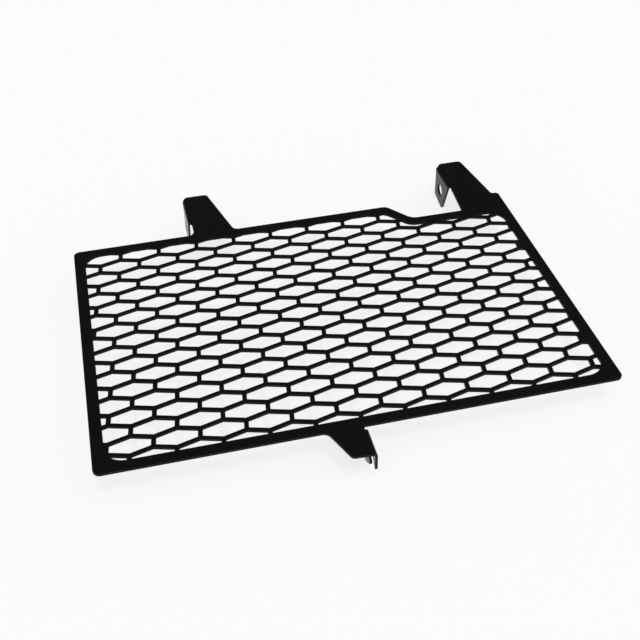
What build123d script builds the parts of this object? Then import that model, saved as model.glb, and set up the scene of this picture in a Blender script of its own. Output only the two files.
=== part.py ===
# Motorcycle radiator guard: a honeycomb panel with three mounting tabs, cut from one sheet and folded.
#
# Millimetres. The guard lies front face up on the tips of its three flanges.
# +X runs along the panel's long side, +Y towards the two upper tabs, +Z out of the front face.
# While it is built, the origin is the middle of the panel's front face.
# The finished guard has its origin under the middle of its bounding box, on the surface it lies on.
from build123d import *
from math import asin, atan, atan2, ceil, cos, degrees, hypot, radians, sin, tan
import os

# Sheet
sheet = 1.5
bend_inside = 0.5

# Panel
panel_width = 300.0
panel_height = 203.0
border = 7.0
panel_corner = 4.0
window_corner = 11.0

# Step down in the top edge, on the right
step_from_side = 82.5
step_run = 13.8
step_drop = 18.1
step_top_round = 5.5
step_foot_round = 9.0

# Honeycomb: pitch along a row, pitch from row to row, and the lean of its upright struts
cell_pitch = 25.43
row_pitch = 10.9
lean = 7.25
strut_width = 2.7
rib_width = 2.4
honeycomb_x = 9.16
honeycomb_y = 2.84
smallest_opening = 10.0

# What all tabs share
flange_depth = 24.9
tab_corner = 3.0
tab_fillet = 4.5

# What the two upper flanges share: a tapered tongue with a bolt hole
flange_inset = 5.2
fold_corner = 3.0
tip_from_end = 14.6
tip_radius = 2.5
flange_slope = 13.5
flange_corner = 2.5
hole_diameter = 9.0
hole_from_end = 10.2
relief_overcut = 0.2

# Upper left tab
left_tab_from_side = 80.85
left_tab_reach = 48.1
left_tab_end_width = 16.0
left_tab_root_width = 28.1
left_corner_run = 1.8
left_corner_drop = 0.9
left_neck_inset = 0.75
left_neck_length = 13.7
left_hole_depth = 15.0

# Upper right tab, beside a small shoulder at the panel's corner
right_tab_from_side = 30.0
right_tab_reach = 45.0
right_tab_end_width = 18.0
right_tab_root_width = 25.3
right_corner_run = 2.3
right_corner_drop = 3.0
right_neck_inset = 0.2
right_neck_length = 12.6
right_foot_inset = 2.4
right_foot_fillet = 1.2
right_hole_depth = 12.5
shoulder_drop = 2.6
shoulder_corner = 2.4
shoulder_fillet = 2.0

# Lower tab: its flange has an open slot, which hooks over a bolt
lower_tab_offset = -3.7
lower_tab_reach = 21.6
lower_tab_end_width = 11.8
lower_tab_root_width = 20.5
lower_tab_rake = 0.7
lower_relief_gap = 2.8
lower_relief_fillet = 1.0
lower_tip_from_end = 19.0
lower_tip_radius = 2.0
lower_slope = 35.0
slot_width = 11.0
slot_angle = 50.0
slot_from_end = 9.5
slot_depth = 9.9
tine_radius = 2.0

# Worked out from the values above
left = -panel_width / 2
right = panel_width / 2
bottom = -panel_height / 2
top = panel_height / 2
step_start = right - step_from_side
step_end = step_start + step_run
step_level = top - step_drop
shoulder_level = top - shoulder_drop
left_fold = left + left_tab_from_side
left_tab_end = top + left_tab_reach
left_neck_top = top + left_neck_length
right_fold = right - right_tab_from_side
right_tab_end = top + right_tab_reach
right_neck_top = top + right_neck_length
lower_fold = lower_tab_offset
lower_tab_end = bottom - lower_tab_reach
bend_outside = bend_inside + sheet


def closed_outline(corners):
    """Face inside straight sides, from (x, y, corner radius) in turn."""
    points = [(x, y) for x, y, _ in corners]
    radii = [radius for _, _, radius in corners]
    return make_face(FilletPolyline(*points, radius=radii, close=True)).face()


def crossing(first, first_angle, second, second_angle):
    """Where two lines meet, each given by a point on it and its angle in degrees."""
    first_x = cos(radians(first_angle))
    first_y = sin(radians(first_angle))
    second_x = cos(radians(second_angle))
    second_y = sin(radians(second_angle))
    gap_x = second[0] - first[0]
    gap_y = second[1] - first[1]
    travel = (gap_x * second_y - gap_y * second_x) / (first_x * second_y - first_y * second_x)
    return first[0] + travel * first_x, first[1] + travel * first_y


def sheet_outline():
    """The flat area, panel and tabs: each tab ends where its bend starts."""
    return closed_outline(
        [
            (left, bottom, panel_corner),
            (lower_fold - lower_tab_root_width, bottom, tab_fillet),
            (lower_fold - lower_tab_end_width, lower_tab_end + lower_tab_rake, tab_corner),
            (lower_fold, lower_tab_end, 0),
            (lower_fold, bottom, lower_relief_fillet),
            (right, bottom, panel_corner),
            (right, shoulder_level, shoulder_corner),
            (right_fold + right_tab_root_width, shoulder_level, shoulder_fillet),
            (right_fold + right_tab_end_width, right_tab_end, tab_corner),
            (right_fold + right_corner_run, right_tab_end, fold_corner),
            (right_fold, right_tab_end - right_corner_drop, 0),
            (right_fold, right_neck_top, 0),
            (right_fold - right_foot_inset, step_level, right_foot_fillet),
            (step_end, step_level, step_foot_round),
            (step_start, top, step_top_round),
            (left_fold + left_tab_root_width, top, tab_fillet),
            (left_fold + left_tab_end_width, left_tab_end, tab_corner),
            (left_fold + left_corner_run, left_tab_end, fold_corner),
            (left_fold, left_tab_end - left_corner_drop, 0),
            (left_fold, left_neck_top, 0),
            (left_fold + left_neck_inset, left_neck_top, 0),
            (left_fold + left_neck_inset, top, tab_fillet),
            (left, top, panel_corner),
        ]
    )


def grille_window():
    """The area that the honeycomb fills: the panel, with its step, less the border."""
    slope_length = hypot(step_run, step_drop)
    step_shift = border * (slope_length - step_run) / step_drop
    return closed_outline(
        [
            (left + border, bottom + border, window_corner),
            (right - border, bottom + border, window_corner),
            (right - border, step_level - border, window_corner),
            (step_end - step_shift, step_level - border, window_corner),
            (step_start - step_shift, top - border, window_corner),
            (left + border, top - border, window_corner),
        ]
    )


def honeycomb_cell(column, row):
    """One leaning hexagonal opening, with half of each rib round it left standing."""
    lean_slope = tan(radians(lean))
    rib_slope = (row_pitch / 3) / (cell_pitch / 2)
    rib_height = rib_width / cos(atan(rib_slope))
    half_width = cell_pitch / 2 - strut_width / cos(radians(lean)) / 2
    peak = row_pitch * 2 / 3 - rib_height / 2
    shoulder = peak - rib_slope * half_width
    centre_x = (column + (row % 2) / 2) * cell_pitch
    centre_y = row * row_pitch
    corners = [
        (0, peak),
        (-half_width, shoulder),
        (-half_width, -shoulder),
        (0, -peak),
        (half_width, -shoulder),
        (half_width, shoulder),
    ]
    upright = [(centre_x + x, centre_y + y) for x, y in corners]
    leaning = [(honeycomb_x + x + y * lean_slope, honeycomb_y + y) for x, y in upright]
    return make_face(Polyline(*leaning, close=True)).face()


def grille_openings():
    """All openings of the honeycomb, cut off at the window; slivers stay solid."""
    window = grille_window()
    rows = ceil((panel_height / 2 + abs(honeycomb_y)) / row_pitch) + 1
    sideways = panel_width / 2 + abs(honeycomb_x) + rows * row_pitch * tan(radians(lean))
    columns = ceil(sideways / cell_pitch) + 1
    openings = []
    for row in range(-rows, rows + 1):
        for column in range(-columns, columns + 1):
            kept = Sketch() + honeycomb_cell(column, row) & window
            openings += [face for face in kept.faces() if face.area > smallest_opening]
    return openings


def perforated_sheet():
    """The flat part of the guard, with its grille."""
    holes = [opening.outer_wire() for opening in grille_openings()]
    face = Face(sheet_outline().outer_wire(), holes)
    return extrude(face, amount=sheet, dir=(0, 0, -1))


def lower_edge(tip_from_end, tip_radius, slope):
    """Where a flange's sloping lower edge runs into its round tip."""
    tip_y = -tip_from_end
    tip_z = tip_radius - flange_depth
    return tip_y + tip_radius * sin(radians(slope)), tip_z - tip_radius * cos(radians(slope))


def flange_face(fold_length, tip_from_end, tip_radius, slope, corner_radius):
    """A flange's outline: y along the fold, 0 at its free end, and z down from the front face.

    The lower edge falls at the slope angle to a round tip, and the inner edge runs from there to the bend.
    """
    root = (-fold_length, -bend_outside)
    edge = lower_edge(tip_from_end, tip_radius, slope)
    drop_y = fold_length - tip_from_end
    drop_z = tip_radius - flange_depth + bend_outside
    inner_angle = atan2(drop_z, drop_y) - asin(tip_radius / hypot(drop_y, drop_z))
    tip = crossing(edge, slope, root, degrees(inner_angle))
    corner = crossing(edge, slope, (0, 0), 90)
    return closed_outline([(0, -bend_outside, 0), (*root, 0), (*tip, tip_radius), (*corner, corner_radius)])


def slanting_end(lead):
    """What is cut off a bend to make its end slant, square to the sheet, from y = lead down to y = 0."""

    def across(turn):
        """A line across the sheet; turn goes from 0 at the tab's side of the bend to 1 at the flange's."""
        radii = (bend_inside / 2, bend_outside * 2)
        ends = [(-radius * turn, lead * (1 - turn), radius * (1 - turn) - bend_outside) for radius in radii]
        return Edge.make_line(*ends)

    slant = Face.make_surface_from_curves(across(-0.25), across(1.25))
    return extrude(slant, amount=lead * 3, dir=(0, 1, 0))


def folded_flange(face, bend_length, bend_lead=0):
    """A bend and its flange: the bend starts at x = 0, runs along -y, and turns down on the -x side.

    A bend with a lead starts that far before its flange on the tab's side, and its end slants to the flange.
    """
    centre = (0, -bend_outside)
    outer = CenterArc(centre, bend_outside, 90, 90)
    inner = CenterArc(centre, bend_inside, 90, 90)
    section = make_face([outer, Line(outer @ 1, inner @ 1), inner, Line(inner @ 0, outer @ 0)])
    bend = Pos(0, bend_lead, 0) * extrude(Plane.XZ * section, amount=bend_lead + bend_length)
    if bend_lead:
        bend -= slanting_end(bend_lead)
    flange = extrude(Plane.YZ.offset(-bend_outside) * face, amount=sheet)
    return bend + flange


def upper_flange(bend_length, corner_drop, relief_radius, hole_depth):
    """A tapered flange with a bolt hole; its inner edge starts at the round relief in the bend."""
    fold_length = bend_length - relief_radius
    face = flange_face(fold_length, tip_from_end, tip_radius, flange_slope, flange_corner)
    hole = Pos(-hole_from_end, -hole_depth) * Circle(hole_diameter / 2)
    return folded_flange(face - hole, bend_length, flange_inset - corner_drop)


def lower_flange(fold_length):
    """A flange with a slanting slot, open at its lower edge."""
    face = flange_face(fold_length, lower_tip_from_end, lower_tip_radius, lower_slope, 0)
    closed_end = Pos(-slot_from_end, -slot_depth) * Rot(0, 0, -slot_angle)
    run = Pos(flange_depth / 2, 0) * Rectangle(flange_depth, slot_width)
    slotted = face - closed_end * (Circle(slot_width / 2) + run)
    edge = lower_edge(lower_tip_from_end, lower_tip_radius, lower_slope)
    side = (closed_end * Pos(0, -slot_width / 2)).position
    tine = crossing(edge, lower_slope, (side.X, side.Y), -slot_angle)
    tine_end = slotted.vertices().sort_by_distance((*tine, 0))[0]
    return folded_flange(slotted.fillet_2d(tine_radius, [tine_end]), fold_length)


def relief(fold, neck_inset, neck_top):
    """The round cut at the end of a bend: from just outside its flange to the tab's neck."""
    radius = (neck_inset + bend_outside + relief_overcut) / 2
    return radius, Pos(fold + neck_inset - radius, neck_top, 0) * Cylinder(radius, flange_depth)


left_relief_radius, left_relief = relief(left_fold, left_neck_inset, left_neck_top)
right_relief_radius, right_relief = relief(right_fold, right_neck_inset, right_neck_top)

left_bend_end = left_tab_end - flange_inset
left_bend_length = left_bend_end - left_neck_top
left_flange = upper_flange(left_bend_length, left_corner_drop, left_relief_radius, left_hole_depth)
right_bend_end = right_tab_end - flange_inset
right_bend_length = right_bend_end - right_neck_top
right_flange = upper_flange(right_bend_length, right_corner_drop, right_relief_radius, right_hole_depth)
hooked_flange = Rot(0, 0, 180) * lower_flange(lower_tab_reach - lower_relief_gap)

guard = perforated_sheet()
guard += Pos(left_fold, left_bend_end, 0) * left_flange
guard += Pos(right_fold, right_bend_end, 0) * right_flange
guard += Pos(lower_fold, lower_tab_end, 0) * hooked_flange
guard -= [left_relief, right_relief]

reach = guard.bounding_box()
base = Pos(reach.center().X, reach.center().Y, reach.min.Z)
radiator_guard = (base.inverse() * guard).solid()

os.makedirs("parts", exist_ok=True)
export_step(radiator_guard, "parts/radiator_guard.step")
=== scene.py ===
"""Looks of a motorcycle radiator guard: a black powder-coated sheet on a white floor."""

import math

import bpy
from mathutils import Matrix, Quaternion, Vector

# Camera, fitted to the photograph: metres in the part's frame, degrees, and millimetres for the lens.
CAMERA_PLACE = Vector((-0.10909, -0.48868, 0.42497))
CAMERA_AIM = Vector((0.16508, 0.74920, -0.64144))
CAMERA_ROLL = 1.359
CAMERA_LENS = 57.22
CAMERA_SENSOR = 36.0
CAMERA_NEAREST = 0.01
CAMERA_FARTHEST = 60.0

# Powder coat: linear colours, roughness from low to high, and sizes and heights in metres.
COAT_DARK = (0.0048, 0.0048, 0.0049, 1.0)
COAT_LIGHT = (0.006, 0.006, 0.0062, 1.0)
COAT_ROUGHNESS = (0.15, 0.21)
COAT_IOR = 1.2
CLOUD_SIZE = 0.045
CLOUD_DETAIL = 3.0
PEEL_SIZE = 0.0022
PEEL_DETAIL = 2.0
PEEL_HEIGHT = 0.00003
GRAIN_SIZE = 0.00045
GRAIN_DETAIL = 1.0
GRAIN_HEIGHT = 0.000006
EDGE_ROUND = 0.0002

# Most of a noise texture's values lie in this range.
NOISE_MIDDLE = (0.3, 0.7)

# Floor: a white square, half its side in metres, and how far what is seen of it is lifted to an even white.
FLOOR_HALF = 12.0
FLOOR_WHITE = (0.94, 0.94, 0.94, 1.0)
FLOOR_SHOWN = (0.96, 0.96, 0.96, 1.0)
FLOOR_LIFT = 0.8

# Room: each range is where one colour goes over into the next, along Y or Z of a direction of length 1.
ROOM_FRONT = (1.31, 1.31, 1.31, 1.0)
ROOM_BACK = (0.03, 0.03, 0.03, 1.0)
ROOM_FRONT_TO_BACK = (-0.3, 0.45)
ROOM_SWEEP = (0.965, 0.965, 0.965, 1.0)
ROOM_SWEEP_HEIGHT = (0.12, 0.36)

# Lights: the direction towards each, its width in degrees, and the level to which it lights a white floor.
KEY_TOWARD = Vector((0.0, -0.5, 1.0))
KEY_WIDTH = 9.0
KEY_LEVEL = 0.26
RIGHT_TOWARD = Vector((0.94, 0.2, 0.27))
RIGHT_WIDTH = 40.0
RIGHT_LEVEL = 0.075


def add_node(tree, kind, **values):
    """A node of that kind, with its own settings given by name."""
    node = tree.nodes.new(kind)
    for name, value in values.items():
        setattr(node, name, value)
    return node


def noise(tree, place, size, detail):
    """A noise texture whose features are about that size, in metres."""
    texture = add_node(tree, "ShaderNodeTexNoise")
    texture.inputs["Scale"].default_value = 1.0 / size
    texture.inputs["Detail"].default_value = detail
    tree.links.new(place, texture.inputs["Vector"])
    return texture.outputs["Fac"]


def ranged(tree, value, low, high):
    """The middle of a noise value's range, spread from low to high."""
    spread = add_node(tree, "ShaderNodeMapRange")
    spread.inputs["From Min"].default_value = NOISE_MIDDLE[0]
    spread.inputs["From Max"].default_value = NOISE_MIDDLE[1]
    spread.inputs["To Min"].default_value = low
    spread.inputs["To Max"].default_value = high
    tree.links.new(value, spread.inputs["Value"])
    return spread.outputs["Result"]


def ramp(tree, value, start, end):
    """A smooth step from 0 at start to 1 at end."""
    step = add_node(tree, "ShaderNodeMapRange", interpolation_type="SMOOTHSTEP")
    step.inputs["From Min"].default_value = start
    step.inputs["From Max"].default_value = end
    tree.links.new(value, step.inputs["Value"])
    return step.outputs["Result"]


def blended(tree, factor, first, second):
    """A colour that goes from the first to the second; either may be a node's output."""
    mix = add_node(tree, "ShaderNodeMix", data_type="RGBA")
    tree.links.new(factor, mix.inputs["Factor"])
    for value, name in ((first, "A"), (second, "B")):
        if isinstance(value, tuple):
            mix.inputs[name].default_value = value
        else:
            tree.links.new(value, mix.inputs[name])
    return mix.outputs["Result"]


def rounded_edges(tree, radius):
    """The surface's normal, turned over the cut edges as if they were rounded to that radius."""
    node = add_node(tree, "ShaderNodeBevel")
    node.inputs["Radius"].default_value = radius
    return node.outputs["Normal"]


def bump(tree, relief, height, below):
    """The normal of a relief of that height in metres, on top of the normal below it."""
    node = add_node(tree, "ShaderNodeBump")
    node.inputs["Strength"].default_value = 1.0
    node.inputs["Distance"].default_value = height
    tree.links.new(relief, node.inputs["Height"])
    tree.links.new(below, node.inputs["Normal"])
    return node.outputs["Normal"]


def powder_coat():
    """Satin black powder coat: faint clouds of tone, orange peel and a fine grain."""
    material = bpy.data.materials.new("black_powder_coat")
    material.use_nodes = True
    tree = material.node_tree
    shader = tree.nodes["Principled BSDF"]
    shader.inputs["IOR"].default_value = COAT_IOR
    place = add_node(tree, "ShaderNodeTexCoord").outputs["Object"]

    cloud = noise(tree, place, CLOUD_SIZE, CLOUD_DETAIL)
    colour = blended(tree, ranged(tree, cloud, 0.0, 1.0), COAT_DARK, COAT_LIGHT)
    tree.links.new(colour, shader.inputs["Base Color"])

    peel = noise(tree, place, PEEL_SIZE, PEEL_DETAIL)
    tree.links.new(ranged(tree, peel, *COAT_ROUGHNESS), shader.inputs["Roughness"])

    grain = noise(tree, place, GRAIN_SIZE, GRAIN_DETAIL)
    peel_normal = bump(tree, peel, PEEL_HEIGHT, rounded_edges(tree, EDGE_ROUND))
    grain_normal = bump(tree, grain, GRAIN_HEIGHT, peel_normal)
    tree.links.new(grain_normal, shader.inputs["Normal"])
    return material


def dress_sheet(sheet):
    """The coat on the CAD sheet."""
    sheet.data.materials.clear()
    sheet.data.materials.append(powder_coat())


def seen_rays(tree):
    """1 for what the camera sees, directly, reflected or through glass, and 0 for what only gives light."""
    ray = add_node(tree, "ShaderNodeLightPath")
    seen = ray.outputs["Is Camera Ray"]
    for kind in ("Is Glossy Ray", "Is Transmission Ray"):
        either = add_node(tree, "ShaderNodeMath", operation="MAXIMUM")
        tree.links.new(seen, either.inputs[0])
        tree.links.new(ray.outputs[kind], either.inputs[1])
        seen = either.outputs["Value"]
    return seen


def floor_paint():
    """White paint that is lifted towards an even white where it is seen and keeps a soft shadow."""
    material = bpy.data.materials.new("white_floor")
    material.use_nodes = True
    tree = material.node_tree
    tree.nodes.remove(tree.nodes["Principled BSDF"])
    lit = add_node(tree, "ShaderNodeBsdfDiffuse")
    lit.inputs["Color"].default_value = FLOOR_WHITE
    shown = add_node(tree, "ShaderNodeEmission")
    shown.inputs["Color"].default_value = FLOOR_SHOWN
    lift = add_node(tree, "ShaderNodeMath", operation="MULTIPLY")
    lift.inputs[1].default_value = FLOOR_LIFT
    tree.links.new(seen_rays(tree), lift.inputs[0])
    mix = add_node(tree, "ShaderNodeMixShader")
    tree.links.new(lift.outputs["Value"], mix.inputs["Fac"])
    tree.links.new(lit.outputs["BSDF"], mix.inputs[1])
    tree.links.new(shown.outputs["Emission"], mix.inputs[2])
    tree.links.new(mix.outputs["Shader"], tree.nodes["Material Output"].inputs["Surface"])
    return material


def white_floor():
    """The floor that the flange tips stand on, at the bottom of the part's frame."""
    mesh = bpy.data.meshes.new("studio_floor")
    half = FLOOR_HALF
    corners = [(-half, -half, 0), (half, -half, 0), (half, half, 0), (-half, half, 0)]
    mesh.from_pydata(corners, [], [(0, 1, 2, 3)])
    mesh.materials.append(floor_paint())
    floor = bpy.data.objects.new("studio_floor", mesh)
    bpy.context.scene.collection.objects.link(floor)


def studio_room():
    """A world with a bright front, a dim back, and a white sweep all round the horizon."""
    world = bpy.data.worlds.new("studio_room")
    world.use_nodes = True
    bpy.context.scene.world = world
    tree = world.node_tree
    direction = add_node(tree, "ShaderNodeTexCoord").outputs["Generated"]
    split = add_node(tree, "ShaderNodeSeparateXYZ")
    tree.links.new(direction, split.inputs["Vector"])
    towards_back = ramp(tree, split.outputs["Y"], *ROOM_FRONT_TO_BACK)
    above_sweep = ramp(tree, split.outputs["Z"], *ROOM_SWEEP_HEIGHT)
    walls = blended(tree, towards_back, ROOM_FRONT, ROOM_BACK)
    room = blended(tree, above_sweep, ROOM_SWEEP, walls)
    tree.links.new(room, tree.nodes["Background"].inputs["Color"])


def even_light(name, toward, width, level):
    """Even light from a patch of sky that many degrees wide, which lights a white floor to that level."""
    aim = toward.normalized()
    lamp = bpy.data.lights.new(name, "SUN")
    lamp.angle = math.radians(width)
    lamp.energy = level * math.pi / aim.z
    patch = bpy.data.objects.new(name, lamp)
    patch.rotation_mode = "QUATERNION"
    patch.rotation_quaternion = (-aim).to_track_quat("-Z", "Y")
    bpy.context.scene.collection.objects.link(patch)


def photo_camera():
    """The camera at the photograph's place, with its lens and its slight roll."""
    lens = bpy.data.cameras.new("photo_camera")
    lens.lens = CAMERA_LENS
    lens.sensor_width = CAMERA_SENSOR
    lens.clip_start = CAMERA_NEAREST
    lens.clip_end = CAMERA_FARTHEST
    camera = bpy.data.objects.new("photo_camera", lens)
    level = CAMERA_AIM.to_track_quat("-Z", "Y")
    roll = Quaternion(CAMERA_AIM.normalized(), math.radians(CAMERA_ROLL))
    camera.rotation_mode = "QUATERNION"
    camera.rotation_quaternion = roll @ level
    camera.location = CAMERA_PLACE
    bpy.context.scene.collection.objects.link(camera)
    bpy.context.scene.camera = camera


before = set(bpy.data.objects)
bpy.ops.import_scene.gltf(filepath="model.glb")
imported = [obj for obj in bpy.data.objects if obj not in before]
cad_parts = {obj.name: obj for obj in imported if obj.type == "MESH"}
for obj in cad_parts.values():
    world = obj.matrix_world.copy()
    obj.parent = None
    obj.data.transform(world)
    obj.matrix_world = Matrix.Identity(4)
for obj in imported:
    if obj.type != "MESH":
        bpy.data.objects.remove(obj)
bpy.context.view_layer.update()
bpy.context.scene.view_settings.view_transform = "Standard"

dress_sheet(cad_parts["radiator_guard"])
white_floor()
studio_room()
even_light("key_light", KEY_TOWARD, KEY_WIDTH, KEY_LEVEL)
even_light("right_light", RIGHT_TOWARD, RIGHT_WIDTH, RIGHT_LEVEL)
photo_camera()
